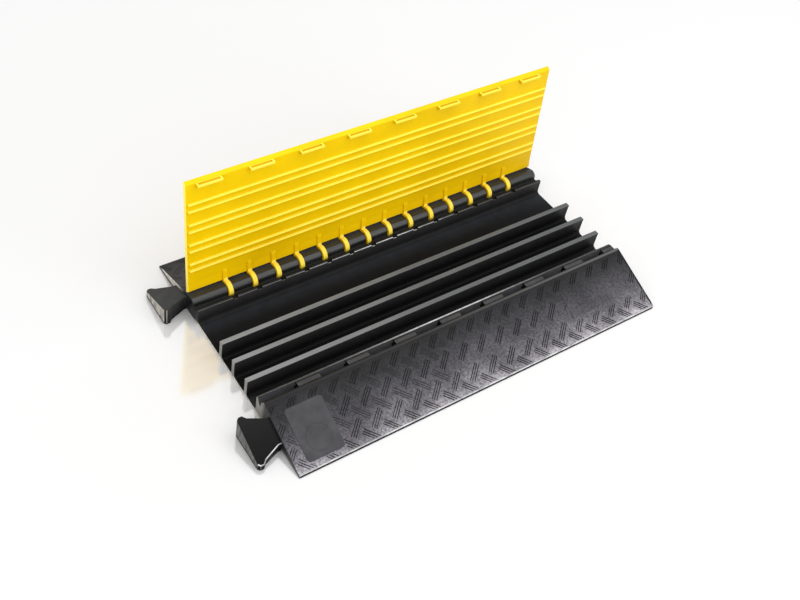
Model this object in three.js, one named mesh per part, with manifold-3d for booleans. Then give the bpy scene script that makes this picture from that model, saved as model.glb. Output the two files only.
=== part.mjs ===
// Floor cord cover: a moulded base with cable channels, a hinged lid and the hinge rod.
// Millimetres, +Z up. X runs along the channels, the front ramp faces -Y.
import * as THREE from "three";
import { mergeVertices } from "three/addons/utils/BufferGeometryUtils.js";
import Module from "manifold-3d";

// Overall sizes. The depth is the sum of the ramps, the channels and the latch strip
const BODY_LENGTH = 836;
const RAMP_TOP_Z = 53;
const FRONT_RUN = 127;
const REAR_RUN = 135;
const FLOOR_Z = 5;
const TOE_Z = 3;
const TOE_ROUND = 1.5;

// Clearances
const SEAT_GAP = 0.4;
const RUN_GAP = 0.8;
const BORE_GAP = 0.3;
const STOP_GAP = 0.35;
const LID_EDGE_GAP = 1.2;
const LUG_SIDE_GAP = 3;
// how far a joined shape reaches into its neighbour, or a cutter past the face
const LAP = 1;

// Hinge
const BARREL_RADIUS = 12.3;
const BARREL_STEPS = 14;
const ROD_RADIUS = 4;
const ROD_INSET = 4;
const FINGER_RADIUS = 17;
const FINGER_WIDTH = 8;
const FINGER_COUNT = 14;
const FINGER_PITCH = BODY_LENGTH / (FINGER_COUNT + 2);
const FINGER_SIDE_GAP = 1;
const SLOT_RADIUS = FINGER_RADIUS + RUN_GAP;
const GUSSET_RUN = 27;
const GUSSET_TURN_DEG = 151;
const GUSSET_SINK = 0.2;
const WEB_TURN_DEG = 128;
const ROUND_STEPS = 28;

// Lid, drawn shut and then turned to its open rest
const LID_END_INSET = 1;
const LID_UNDER = 12.7;
const LID_THICK = 7.8;
const LID_HINGE_INNER = 14.5;
const OPEN_LEAN_DEG = 4.5;
const RIB_HEIGHT = 4;
const RIB_WIDTH = 5;
const RIB_DRAFT = 0.6;
const TAB_COUNT = 8;
const TAB_PITCH = BODY_LENGTH / TAB_COUNT;
const TAB_WIDTH = 51;
const TAB_DEPTH = 8.5;
const TAB_ROOT = 8;
const TAB_TIP = 4.5;
const TAB_SETBACK = 0.9;
// the first tab's centre stands a little left of the middle of its pitch
const TAB_SHIFT = 5.75;
const TAB_START = TAB_PITCH / 2 - TAB_SHIFT;

// Channels
const REAR_WALL_BACK = 31.5;
const REAR_RIM_RISE = 6.3;
const REAR_RIM_WIDTH = 5;
const REAR_RIM_CHAMFER = 1.2;
const VALLEY_DROP = 3.3;
const VALLEY_INSET = 14.5;
const WIDE_CHANNEL = 88.3;
const FRONT_CHANNEL = 37.7;
const DIVIDER_COUNT = 3;
const DIVIDER_PITCH = 47;
const DIVIDER_TOP = 9.8;
const DIVIDER_WAIST = 8.8;
const DIVIDER_LIP = 4;
const FOOT_ROUND = 7;
const FOOT_STEPS = 5;

// Latch groove behind the front ramp's crest
const RIM_DROP = 9.5;
const RIM_WIDTH = 4.5;
const RIM_CHAMFER = 1;
const GROOVE_DROP = 21;
const GROOVE_BACK = 10.5;
const GROOVE_FRONT = 15;
const FLANK_LOW = 16.2;
const FLANK_DROP = 9;
const CREST_BACK = 22.6;
const CREST_FRONT = 26.5;
const CREST_DROP = 0.8;
const LUG_DRAFT = 0.6;

// Connector heads on the left end, and the pockets that take them on the right end
const HEAD_REACH = 54;
const HEAD_NECK = 47;
const HEAD_NECK_REACH = 6;
const HEAD_FLARE = 72;
const HEAD_FLARE_REACH = 37;
const HEAD_WIDE = 84;
const HEAD_BEAD = 7;
const HEAD_ROUND = 4;
const HEAD_DROP = 6;
const FRONT_HEAD_LAP = 1;
const REAR_HEAD_LAP = 4;
const POCKET_GAP = 1;
const POCKET_ROOF = 5;
// the pocket's roof rises toward its mouth, in mm for each mm of X
const POCKET_DRAFT = 0.006;

// Stations along X: the heads shift the body so that the whole part is centred
const BODY_LEFT = -(BODY_LENGTH + HEAD_REACH) / 2 + HEAD_REACH;
const BODY_RIGHT = BODY_LEFT + BODY_LENGTH;
const BODY_MIDDLE = (BODY_LEFT + BODY_RIGHT) / 2;
const POCKET_END = BODY_RIGHT - HEAD_REACH - POCKET_GAP;
const ROD_LEFT = BODY_LEFT + ROD_INSET;
const ROD_RIGHT = POCKET_END - ROD_INSET;

// Stations along Y, from the front toe to the rear toe
const DIVIDER_SPAN = DIVIDER_PITCH * (DIVIDER_COUNT - 1);
const CHANNEL_SPAN = WIDE_CHANNEL + DIVIDER_SPAN + FRONT_CHANNEL;
const BODY_DEPTH = FRONT_RUN + CREST_FRONT + CHANNEL_SPAN + REAR_WALL_BACK + REAR_RUN;
const FRONT_TOE_Y = -BODY_DEPTH / 2;
const REAR_TOE_Y = BODY_DEPTH / 2;
const AXIS_Y = REAR_TOE_Y - REAR_RUN;
const REAR_WALL_Y = AXIS_Y - REAR_WALL_BACK;
const FIRST_DIVIDER_Y = REAR_WALL_Y - WIDE_CHANNEL;
const FRONT_WALL_Y = REAR_WALL_Y - CHANNEL_SPAN;
const CREST_Y = FRONT_WALL_Y - CREST_FRONT;
const FRONT_HEAD_Y = CREST_Y + FRONT_HEAD_LAP - HEAD_WIDE / 2;
const REAR_HEAD_Y = AXIS_Y - REAR_HEAD_LAP + HEAD_WIDE / 2;

// Heights
const LID_UNDER_Z = RAMP_TOP_Z - LID_THICK;
const AXIS_Z = LID_UNDER_Z - LID_UNDER;
const DIVIDER_Z = LID_UNDER_Z - SEAT_GAP;
const LUG_Z = DIVIDER_Z - SEAT_GAP;
const CREST_Z = RAMP_TOP_Z - CREST_DROP;
const FLANK_Z = RAMP_TOP_Z - FLANK_DROP;
const RIM_Z = RAMP_TOP_Z - RIM_DROP;
const GROOVE_Z = RAMP_TOP_Z - GROOVE_DROP;

const wasm = await Module();
wasm.setup();

function toManifold(geometry) {
  const bare = geometry.clone();
  bare.deleteAttribute("normal");
  bare.deleteAttribute("uv");
  const merged = mergeVertices(bare, 1e-4);
  return new wasm.Manifold(new wasm.Mesh({
    numProp: 3,
    vertProperties: new Float32Array(merged.attributes.position.array),
    triVerts: new Uint32Array(merged.index.array),
  }));
}

function fromManifold(solid) {
  const mesh = solid.getMesh();
  const geometry = new THREE.BufferGeometry();
  geometry.setAttribute("position", new THREE.BufferAttribute(mesh.vertProperties.slice(), 3));
  geometry.setIndex(new THREE.BufferAttribute(mesh.triVerts.slice(), 1));
  geometry.computeVertexNormals();
  return geometry;
}

function pushed(outline, depth) {
  const shape = new THREE.Shape(outline.map(([u, v]) => new THREE.Vector2(u, v)));
  return new THREE.ExtrudeGeometry(shape, { depth, bevelEnabled: false, steps: 1 });
}

// Pushes a section drawn in (Y, Z) along X between two stations, climbing by rise for each mm
function alongX(section, x0, x1, rise = 0) {
  const geometry = pushed(section, x1 - x0);
  // local x, y, z become Y, Z, X
  const turn = new THREE.Matrix4().set(0, 0, 1, x0, 1, 0, 0, 0, 0, 1, rise, 0, 0, 0, 0, 1);
  geometry.applyMatrix4(turn);
  return toManifold(geometry);
}

// Pushes an outline drawn in (X, Y) up from z0 to z1
function upZ(outline, z0, z1) {
  const geometry = pushed(outline, z1 - z0);
  geometry.translate(0, 0, z0);
  return toManifold(geometry);
}

function arc(cy, cz, radius, fromDeg, toDeg, steps) {
  const points = [];
  for (let i = 0; i <= steps; i += 1) {
    const a = THREE.MathUtils.degToRad(fromDeg + ((toDeg - fromDeg) * i) / steps);
    points.push([cy + radius * Math.cos(a), cz + radius * Math.sin(a)]);
  }
  return points;
}

function roundBar(radius, x0, x1) {
  return alongX(arc(AXIS_Y, AXIS_Z, radius, 0, 360 - 360 / ROUND_STEPS, ROUND_STEPS - 1), x0, x1);
}

// The rear ramp leaves the toe and touches the hinge barrel
const frontFootY = FRONT_TOE_Y + TOE_ROUND;
const rearFootY = REAR_TOE_Y - TOE_ROUND;
const rearLine = Math.hypot(rearFootY - AXIS_Y, AXIS_Z - TOE_Z);
const rearRise = Math.atan2(AXIS_Z - TOE_Z, rearFootY - AXIS_Y);
const rearSlope = rearRise + Math.asin(BARREL_RADIUS / rearLine);
const frontSlope = Math.atan2(CREST_Z - TOE_Z, CREST_Y - frontFootY);
const frontRampZ = (y) => TOE_Z + (y - frontFootY) * Math.tan(frontSlope);
const rearRampZ = (y) => TOE_Z + (rearFootY - y) * Math.tan(rearSlope);

function divider(centre) {
  const top = DIVIDER_TOP / 2;
  const waist = DIVIDER_WAIST / 2;
  const footZ = FLOOR_Z + FOOT_ROUND;
  return [
    ...arc(centre - waist - FOOT_ROUND, footZ, FOOT_ROUND, -90, 0, FOOT_STEPS),
    [centre - waist, DIVIDER_Z - 2 * DIVIDER_LIP],
    [centre - top, DIVIDER_Z - DIVIDER_LIP],
    [centre - top, DIVIDER_Z],
    [centre + top, DIVIDER_Z],
    [centre + top, DIVIDER_Z - DIVIDER_LIP],
    [centre + waist, DIVIDER_Z - 2 * DIVIDER_LIP],
    ...arc(centre + waist + FOOT_ROUND, footZ, FOOT_ROUND, 180, 270, FOOT_STEPS),
  ];
}

function baseSection() {
  const rimTop = AXIS_Z + REAR_RIM_RISE;
  const valleyDeg = THREE.MathUtils.radToDeg(Math.asin(VALLEY_DROP / BARREL_RADIUS));
  const tangentDeg = 90 - THREE.MathUtils.radToDeg(rearSlope);
  const points = [
    [FRONT_TOE_Y, 0],
    [FRONT_TOE_Y, TOE_Z - TOE_ROUND],
    [frontFootY, TOE_Z],
    [CREST_Y, CREST_Z],
    [FRONT_WALL_Y - (CREST_FRONT + CREST_BACK) / 2, RAMP_TOP_Z],
    [FRONT_WALL_Y - CREST_BACK, CREST_Z],
    [FRONT_WALL_Y - FLANK_LOW, FLANK_Z],
    [FRONT_WALL_Y - GROOVE_FRONT, GROOVE_Z],
    [FRONT_WALL_Y - GROOVE_BACK, GROOVE_Z],
    [FRONT_WALL_Y - RIM_WIDTH, RIM_Z],
    [FRONT_WALL_Y - RIM_CHAMFER, RIM_Z],
    [FRONT_WALL_Y, RIM_Z - RIM_CHAMFER],
    ...arc(FRONT_WALL_Y + FOOT_ROUND, FLOOR_Z + FOOT_ROUND, FOOT_ROUND, 180, 270, FOOT_STEPS),
  ];
  for (let i = DIVIDER_COUNT - 1; i >= 0; i -= 1) {
    points.push(...divider(FIRST_DIVIDER_Y - DIVIDER_PITCH * i));
  }
  points.push(
    ...arc(REAR_WALL_Y - FOOT_ROUND, FLOOR_Z + FOOT_ROUND, FOOT_ROUND, -90, 0, FOOT_STEPS),
    [REAR_WALL_Y, rimTop - REAR_RIM_CHAMFER],
    [REAR_WALL_Y + REAR_RIM_CHAMFER, rimTop],
    [REAR_WALL_Y + REAR_RIM_WIDTH, rimTop],
    [REAR_WALL_Y + VALLEY_INSET, AXIS_Z - VALLEY_DROP],
    ...arc(AXIS_Y, AXIS_Z, BARREL_RADIUS, 180 + valleyDeg, tangentDeg, BARREL_STEPS),
    [rearFootY, TOE_Z],
    [REAR_TOE_Y, TOE_Z - TOE_ROUND],
    [REAR_TOE_Y, 0],
  );
  return points;
}

// Half outline of a connector head as [reach, half width], swollen by grow
function headSide(grow) {
  const neck = HEAD_NECK / 2 + grow;
  const flare = HEAD_FLARE / 2 + grow;
  const wide = HEAD_WIDE / 2 + grow;
  const reach = HEAD_REACH + grow;
  return [
    [HEAD_NECK_REACH, neck],
    [HEAD_FLARE_REACH, flare],
    [HEAD_FLARE_REACH + wide - flare, wide],
    [HEAD_FLARE_REACH + wide - flare + HEAD_BEAD, wide],
    [reach, wide - HEAD_ROUND],
  ];
}

// A head or pocket block under its ramp: it leaves the face at faceX toward -X and starts
// past inside of it. Its top lies drop under the ramp at the far end and climbs by rise from there
function connector(faceX, past, centreY, grow, rampZ, drop, rise, bottomZ) {
  const side = headSide(grow);
  const outline = [[-past, side[0][1]], ...side];
  const whole = [...outline, ...outline.map(([reach, half]) => [reach, -half]).reverse()];
  const post = upZ(whole.map(([reach, y]) => [faceX - reach, centreY + y]).reverse(), bottomZ, RAMP_TOP_Z);
  const low = centreY - HEAD_WIDE;
  const high = centreY + HEAD_WIDE;
  const deepZ = -RAMP_TOP_Z;
  const lowered = drop + rise * (HEAD_REACH - grow);
  const under = alongX([
    [low, deepZ],
    [low, rampZ(low) - lowered],
    [high, rampZ(high) - lowered],
    [high, deepZ],
  ], faceX - 2 * HEAD_REACH, faceX + 2 * past, rise);
  return post.intersect(under);
}

const headAt = (y, rampZ) => connector(BODY_LEFT, LAP, y, 0, rampZ, HEAD_DROP, 0, 0);
const pocketAt = (y, rampZ) =>
  connector(BODY_RIGHT, LAP, y, POCKET_GAP, rampZ, POCKET_ROOF, POCKET_DRAFT, -LAP);
const fingerCentre = (i) => BODY_MIDDLE + FINGER_PITCH * (i - (FINGER_COUNT - 1) / 2);
const tabCentre = (i) => BODY_LEFT + TAB_START + TAB_PITCH * i;

function makeBase() {
  let base = alongX(baseSection(), BODY_LEFT, BODY_RIGHT);
  // lugs fill the latch groove between the tabs' places, the last one up to the right end
  for (let i = 0; i < TAB_COUNT; i += 1) {
    const x0 = tabCentre(i) + TAB_WIDTH / 2 + LUG_SIDE_GAP;
    const x1 = i === TAB_COUNT - 1 ? BODY_RIGHT : tabCentre(i + 1) - TAB_WIDTH / 2 - LUG_SIDE_GAP;
    base = base.add(alongX([
      [FRONT_WALL_Y - GROOVE_FRONT - LAP, GROOVE_Z - LAP],
      [FRONT_WALL_Y - GROOVE_BACK + LAP, GROOVE_Z - LAP],
      [FRONT_WALL_Y - RIM_WIDTH + LAP, RIM_Z - LAP],
      [FRONT_WALL_Y - RIM_WIDTH, LUG_Z],
      [FRONT_WALL_Y - FLANK_LOW + LUG_DRAFT, LUG_Z],
      [FRONT_WALL_Y - FLANK_LOW - LUG_DRAFT, FLANK_Z - LUG_DRAFT],
    ], x0, x1));
  }
  for (let i = 0; i < FINGER_COUNT; i += 1) {
    const half = FINGER_WIDTH / 2 + FINGER_SIDE_GAP;
    base = base.subtract(roundBar(SLOT_RADIUS, fingerCentre(i) - half, fingerCentre(i) + half));
  }
  // the rod goes in at the left end and stops short of the rear pocket
  base = base.subtract(roundBar(ROD_RADIUS + BORE_GAP, BODY_LEFT - LAP, ROD_RIGHT + BORE_GAP));
  base = base.add(headAt(FRONT_HEAD_Y, frontRampZ)).add(headAt(REAR_HEAD_Y, rearRampZ));
  base = base.subtract(pocketAt(FRONT_HEAD_Y, frontRampZ));
  return base.subtract(pocketAt(REAR_HEAD_Y, rearRampZ));
}

// The lid in its shut place
function makeLid() {
  const x0 = BODY_LEFT + LID_END_INSET;
  const x1 = BODY_RIGHT - LID_END_INSET;
  const lean = THREE.MathUtils.degToRad(OPEN_LEAN_DEG);
  // where the outer face meets the rear ramp once the lid stands open
  const outer = LID_UNDER + LID_THICK;
  const openY = AXIS_Y + outer * Math.cos(lean);
  const openZ = AXIS_Z - outer * Math.sin(lean);
  const outerBack = (rearRampZ(openY) + STOP_GAP - openZ) / Math.cos(lean);
  const innerBack = AXIS_Y - LID_HINGE_INNER;
  const freeInner = FRONT_WALL_Y - FLANK_LOW + LID_EDGE_GAP;
  const freeOuter = FRONT_WALL_Y - CREST_BACK + LID_EDGE_GAP;
  let lid = alongX([
    [innerBack, LID_UNDER_Z],
    [AXIS_Y - outerBack, RAMP_TOP_Z],
    [freeOuter, RAMP_TOP_Z],
    [freeInner, LID_UNDER_Z],
  ], x0, x1);
  // ribs under the plate, one on each side of every divider and of the wide channel's middle
  const ribInner = DIVIDER_TOP / 2 + RUN_GAP;
  const ribOuter = ribInner + RIB_WIDTH;
  const ribZ = LID_UNDER_Z - RIB_HEIGHT;
  for (let i = -1; i < DIVIDER_COUNT; i += 1) {
    const centre = FIRST_DIVIDER_Y - DIVIDER_PITCH * i;
    for (const [low, high] of [[-ribOuter, -ribInner], [ribInner, ribOuter]]) {
      lid = lid.add(alongX([
        [centre + low, LID_UNDER_Z + LAP],
        [centre + low + RIB_DRAFT, ribZ],
        [centre + high - RIB_DRAFT, ribZ],
        [centre + high, LID_UNDER_Z + LAP],
      ], x0, x1));
    }
  }
  // latch tabs near the free edge
  const tabFront = freeInner + TAB_SETBACK;
  for (let i = 0; i < TAB_COUNT; i += 1) {
    lid = lid.add(alongX([
      [tabFront, LID_UNDER_Z + LAP],
      [tabFront, LID_UNDER_Z - TAB_DEPTH],
      [tabFront + TAB_TIP, LID_UNDER_Z - TAB_DEPTH],
      [tabFront + TAB_ROOT, LID_UNDER_Z + LAP],
    ], tabCentre(i) - TAB_WIDTH / 2, tabCentre(i) + TAB_WIDTH / 2));
  }
  // hinge fingers, each with a web that keeps off the rear ramp when the lid stands open
  const inside = FINGER_RADIUS - GUSSET_SINK;
  const gussetTurn = THREE.MathUtils.degToRad(GUSSET_TURN_DEG);
  const webTurn = THREE.MathUtils.degToRad(WEB_TURN_DEG);
  for (let i = 0; i < FINGER_COUNT; i += 1) {
    const a = fingerCentre(i) - FINGER_WIDTH / 2;
    const b = fingerCentre(i) + FINGER_WIDTH / 2;
    const web = alongX([
      [innerBack - GUSSET_RUN, LID_UNDER_Z + LAP],
      [innerBack - GUSSET_RUN, LID_UNDER_Z],
      [AXIS_Y + inside * Math.cos(gussetTurn), AXIS_Z + inside * Math.sin(gussetTurn)],
      [AXIS_Y - FINGER_RADIUS / 3, AXIS_Z + FINGER_RADIUS / 3],
      [AXIS_Y + inside * Math.cos(webTurn), AXIS_Z + inside * Math.sin(webTurn)],
      [AXIS_Y - outerBack - LAP, RAMP_TOP_Z - LAP],
    ], a, b);
    lid = lid.add(roundBar(FINGER_RADIUS, a, b)).add(web);
    lid = lid.subtract(roundBar(ROD_RADIUS + BORE_GAP, a - LAP, b + LAP));
  }
  return lid;
}

function addPart(group, name, geometry, color, roughness, metalness) {
  const material = new THREE.MeshStandardMaterial({ color, roughness, metalness });
  const mesh = new THREE.Mesh(geometry, material);
  mesh.name = name;
  group.add(mesh);
}

const group = new THREE.Group();
addPart(group, "base", fromManifold(makeBase()), 0x2b2a2d, 0.62, 0);

const lidGeometry = fromManifold(makeLid());
const openTurn = THREE.MathUtils.degToRad(-90 - OPEN_LEAN_DEG);
lidGeometry.translate(0, -AXIS_Y, -AXIS_Z);
lidGeometry.rotateX(openTurn);
lidGeometry.translate(0, AXIS_Y, AXIS_Z);
addPart(group, "lid", lidGeometry, 0xf2c500, 0.5, 0);

const rod = fromManifold(roundBar(ROD_RADIUS, ROD_LEFT, ROD_RIGHT));
addPart(group, "hinge_rod", rod, 0x8f8c80, 0.4, 0);

export default group;
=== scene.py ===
"""Looks for the floor cord cover: moulded base, hinged lid and hinge rod, on a pale studio floor."""
import math

import bmesh
import bpy
from mathutils import Matrix, Vector


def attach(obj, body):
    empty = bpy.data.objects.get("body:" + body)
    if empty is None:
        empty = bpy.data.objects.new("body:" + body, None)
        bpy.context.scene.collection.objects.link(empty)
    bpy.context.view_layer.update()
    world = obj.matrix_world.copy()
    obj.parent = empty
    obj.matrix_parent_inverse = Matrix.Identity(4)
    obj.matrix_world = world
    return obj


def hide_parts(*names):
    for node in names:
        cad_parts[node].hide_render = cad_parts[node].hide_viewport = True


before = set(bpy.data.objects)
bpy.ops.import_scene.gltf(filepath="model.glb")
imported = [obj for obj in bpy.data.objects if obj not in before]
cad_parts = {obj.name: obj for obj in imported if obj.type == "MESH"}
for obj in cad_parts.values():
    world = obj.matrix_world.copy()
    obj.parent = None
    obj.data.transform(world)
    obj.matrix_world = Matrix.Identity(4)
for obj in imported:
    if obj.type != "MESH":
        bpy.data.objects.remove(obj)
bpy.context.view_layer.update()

MM = 0.001

# Sizes of the model, in millimetres, as in the part's source
BODY_LEFT, BODY_RIGHT = -391.0, 445.0
BODY_MIDDLE = (BODY_LEFT + BODY_RIGHT) / 2
FRONT_TOE, REAR_TOE = -270.0, 270.0
TOE_Z = 3.0
TOE_ROUND = 1.5
AXIS_Y, AXIS_Z = 135.0, 32.5
BARREL_RADIUS = 12.3
BORE_RADIUS = 4.3
BORE_END = 386.3
SLOT_RADIUS = 17.8
FINGER_COUNT = 14
FINGER_PITCH = 52.25
TAB_PITCH = 104.5
TAB_COUNT = 8
TAB_WIDTH = 51.0
TAB_START = TAB_PITCH / 2 - 5.75
LUG_GAP = 3.0
CREST_Z = 53.0
CREST = (-143.0, 52.2)
REAR_WALL = 103.5
FRONT_WALL = -116.5
FLOOR_Z = 5.0
DIVIDERS = (-78.8, -31.8, 15.2)
DIVIDER_Z = 44.8
LID_UNDER = 12.7
LID_TOP = 20.5
LEAN_DEG = 4.5
HEAD_REACH = 54.0
FRONT_HEAD_Y, REAR_HEAD_Y = -184.0, 173.0
HEAD_DROP = 6.0
POCKET_ROOF = 5.0
POCKET_GAP = 1.0
CORNER_ROUND = 7.0
STOP_GAP = 0.35
LID_BAR_HEIGHT = 0.9

front_slope = math.atan2(CREST[1] - TOE_Z, CREST[0] - (FRONT_TOE + TOE_ROUND))
rear_line = math.hypot(REAR_TOE - TOE_ROUND - AXIS_Y, AXIS_Z - TOE_Z)
rear_slope = math.atan2(AXIS_Z - TOE_Z, REAR_TOE - TOE_ROUND - AXIS_Y)
rear_slope += math.asin(BARREL_RADIUS / rear_line)


def front_ramp(y):
    return TOE_Z + (y - FRONT_TOE - TOE_ROUND) * math.tan(front_slope)


def rear_ramp(y):
    return TOE_Z + (REAR_TOE - TOE_ROUND - y) * math.tan(rear_slope)


# ---- camera, at the photograph's angle ----
CAMERA_AZIMUTH, CAMERA_ELEVATION, CAMERA_ROLL = -38.761, 42.591, 9.033
CAMERA_PLACE = (-1017.224, -1065.975, 1572.826)
FOCAL_PX = 1084.378
SENSOR = 36.0
PICTURE_WIDE, PICTURE_TALL = 800.0, 600.0
AXIS_PX = (350.0, 200.0)
CLIP = (0.05, 60.0)


def make_camera():
    azimuth, elevation, roll = (math.radians(a) for a in (CAMERA_AZIMUTH, CAMERA_ELEVATION, CAMERA_ROLL))
    back = Vector((
        math.sin(azimuth) * math.cos(elevation),
        -math.cos(azimuth) * math.cos(elevation),
        math.sin(elevation),
    ))
    right = Vector((0, 0, 1)).cross(back).normalized()
    up = back.cross(right)
    side = math.cos(roll) * right + math.sin(roll) * up
    top = -math.sin(roll) * right + math.cos(roll) * up
    data = bpy.data.cameras.new("view")
    data.sensor_width = SENSOR
    data.lens = FOCAL_PX * SENSOR / PICTURE_WIDE
    data.shift_x = (PICTURE_WIDE / 2 - AXIS_PX[0]) / PICTURE_WIDE
    data.shift_y = (AXIS_PX[1] - PICTURE_TALL / 2) / PICTURE_WIDE
    data.clip_start, data.clip_end = CLIP
    camera = bpy.data.objects.new("view", data)
    bpy.context.scene.collection.objects.link(camera)
    turn = Matrix((side, top, back)).transposed().to_4x4()
    camera.matrix_world = Matrix.Translation(Vector(CAMERA_PLACE) * MM) @ turn
    bpy.context.scene.camera = camera


make_camera()


# ---- mesh helpers, all in millimetres; a shape is (vertices, faces, finish of each face) ----
# Painted light: RIDGE, EDGE, CREST_LINE and TOE are painted highlights, END and TIP painted reflection, RECESS
# painted shade, and RUBBER and RAMP carry painted sheen and shade in their tones.
RUBBER, RAMP, RIDGE, EDGE, END, RECESS, SHELF, TIP, CREST_LINE, PLATE, TOE, BARREL = range(12)
# On the lid, BRIGHT and LID_END are painted highlights and SHADE is painted shade.
BODY, BRIGHT, LID_END, SHADE = range(4)
ARC_STEP_DEG = 12.0
STRAIGHT_DEG = 89.2  # a corner whose half angle passes this is as good as straight
RUN_SHARE = 0.49  # the most that an arc takes of either run beside it
MITRE_LIMIT = 0.35
CAP_SHARE = 0.3
WELD = 0.002
SHARP_DEG = 34.0
NORMAL_WEIGHT = 80


def outline_of(corners):
    """Closed outline from (u, v, radius, finish of the arc, finish of the run after it) corners."""
    points, finishes = [], []
    count = len(corners)
    for i, corner in enumerate(corners):
        u, v, radius, arc, run = (*corner, 0, 0)[:5]
        here = Vector((u, v))
        before = Vector(corners[i - 1][:2]) - here
        after = Vector(corners[(i + 1) % count][:2]) - here
        half = before.angle(after, math.pi) / 2
        if radius <= 0 or half > math.radians(STRAIGHT_DEG):
            points.append((u, v))
            finishes.append(run)
            continue
        a, b = before.normalized(), after.normalized()
        reach = min(radius / math.tan(half), RUN_SHARE * before.length, RUN_SHARE * after.length)
        radius = reach * math.tan(half)
        centre = here + (a + b).normalized() * (radius / math.sin(half))
        start, end = here + a * reach - centre, here + b * reach - centre
        sweep = start.angle_signed(end)
        steps = max(2, math.ceil(abs(math.degrees(sweep)) / ARC_STEP_DEG))
        for k in range(steps + 1):
            t = -sweep * k / steps
            c, s = math.cos(t), math.sin(t)
            points.append((centre.x + start.x * c - start.y * s, centre.y + start.x * s + start.y * c))
            finishes.append(arc if k < steps else run)
    total = sum(a[0] * b[1] - b[0] * a[1] for a, b in zip(points, points[1:] + points[:1]))
    if total < 0:
        points = points[::-1]
        finishes = finishes[-2::-1] + finishes[-1:]
    return points, finishes


def drawn_in(points, inset):
    """The outline moved inward by inset."""
    out = []
    count = len(points)
    for i in range(count):
        p, q, r = (Vector(points[j % count]) for j in (i - 1, i, i + 1))
        a, b = (q - p).normalized(), (r - q).normalized()
        n1, n2 = Vector((-a.y, a.x)), Vector((-b.y, b.x))
        m = (n1 + n2) / max(MITRE_LIMIT, 1 + n1.dot(n2))
        out.append(tuple(q + m * inset))
    return out


def loft(rings, finishes=None, end=0, capped=True, around=()):
    """A skin through rings of equal length; around holds the gaps that take the end's finish."""
    verts, faces, kinds = [], [], []
    count = len(rings[0])
    for ring in rings:
        verts.extend(ring)
    for k in range(len(rings) - 1):
        a, b = k * count, (k + 1) * count
        for i in range(count):
            j = (i + 1) % count
            faces.append((a + i, a + j, b + j, b + i))
            kinds.append(end if k in around or not finishes else finishes[i])
    if capped:
        last = (len(rings) - 1) * count
        faces += [tuple(reversed(range(count))), tuple(range(last, last + count))]
        kinds += [end, end]
    return verts, faces, kinds


def along_x(outline, x0, x1, cap, end=0):
    """A section in (Y, Z) pushed along X, its end edges eased by cap."""
    points, finishes = outline
    small = drawn_in(points, cap)
    rings = [(x0, small), (x0 + cap, points), (x1 - cap, points), (x1, small)]
    return loft([[(x, y, z) for y, z in ring] for x, ring in rings], finishes, end, True, (0, 2))


def up_z(outline, low, top, cap, end=0, rim=None):
    """An outline in (X, Y) raised to the height top(y).

    Its upper edge is eased by cap, and rim lists the finishes of that easing.
    """
    points, finishes = outline
    eased = CAP_SHARE * cap
    rings = [
        [(x, y, low) for x, y in drawn_in(points, cap / 2)],
        [(x, y, low + cap / 2) for x, y in points],
        [(x, y, top(y) - cap) for x, y in points],
        [(x, y, top(y) - eased) for x, y in drawn_in(points, eased)],
        [(x, y, top(y)) for x, y in drawn_in(points, cap)],
    ]
    verts, faces, kinds = loft(rings, finishes, end)
    if rim:
        count = len(points)
        kinds[2 * count:4 * count] = rim * 2
    return verts, faces, kinds


def lathe_x(profile, segments, cy, cz, finish=0):
    """A profile of (x, radius) turned about a line along X. It starts and ends at radius 0."""
    verts, faces, rings = [], [], []
    for x, radius in profile:
        if radius <= 0:
            rings.append([len(verts)])
            verts.append((x, cy, cz))
            continue
        rings.append(list(range(len(verts), len(verts) + segments)))
        for k in range(segments):
            a = 2 * math.pi * k / segments
            verts.append((x, cy + radius * math.cos(a), cz + radius * math.sin(a)))
    for low, high in zip(rings, rings[1:]):
        for k in range(segments):
            j = (k + 1) % segments
            if len(low) == 1:
                faces.append((low[0], high[j], high[k]))
            elif len(high) == 1:
                faces.append((low[k], low[j], high[0]))
            else:
                faces.append((low[k], low[j], high[j], high[k]))
    return verts, faces, [finish] * len(faces)


def block(x0, x1, y0, y1, z0, z1, finish=0):
    square = [(y0, z0), (y1, z0), (y1, z1), (y0, z1)]
    return loft([[(x, y, z) for y, z in square] for x in (x0, x1)], [finish] * 4, finish)


def joined(*shapes):
    verts, faces, kinds = [], [], []
    for some_verts, some_faces, some_kinds in shapes:
        first = len(verts)
        verts.extend(some_verts)
        faces.extend(tuple(first + i for i in f) for f in some_faces)
        kinds.extend(some_kinds)
    return verts, faces, kinds


def placed(shape, matrix):
    verts, faces, kinds = shape
    return [tuple(matrix @ Vector(v)) for v in verts], faces, kinds


def new_object(name, shape, materials=()):
    verts, faces, kinds = shape
    mesh = bpy.data.meshes.new(name)
    mesh.from_pydata([Vector(v) * MM for v in verts], [], faces)
    for made in materials:
        mesh.materials.append(made)
    for face, kind in zip(mesh.polygons, kinds):
        face.material_index = kind
    work = bmesh.new()
    work.from_mesh(mesh)
    bmesh.ops.recalc_face_normals(work, faces=work.faces)
    work.to_mesh(mesh)
    work.free()
    obj = bpy.data.objects.new(name, mesh)
    bpy.context.scene.collection.objects.link(obj)
    return obj


def drop(obj):
    mesh = obj.data
    bpy.data.objects.remove(obj)
    bpy.data.meshes.remove(mesh)


def cut(obj, shape, operation):
    """Joins shape to obj, or takes it away, and keeps the result as obj's mesh."""
    other = new_object("cutter", shape, list(obj.data.materials))
    tool = obj.modifiers.new("tool", "BOOLEAN")
    tool.operation = operation
    tool.solver = "EXACT"
    tool.object = other
    graph = bpy.context.evaluated_depsgraph_get()
    result = bpy.data.meshes.new_from_object(obj.evaluated_get(graph))
    obj.modifiers.remove(tool)
    old = obj.data
    obj.data = result
    bpy.data.meshes.remove(old)
    drop(other)


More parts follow.
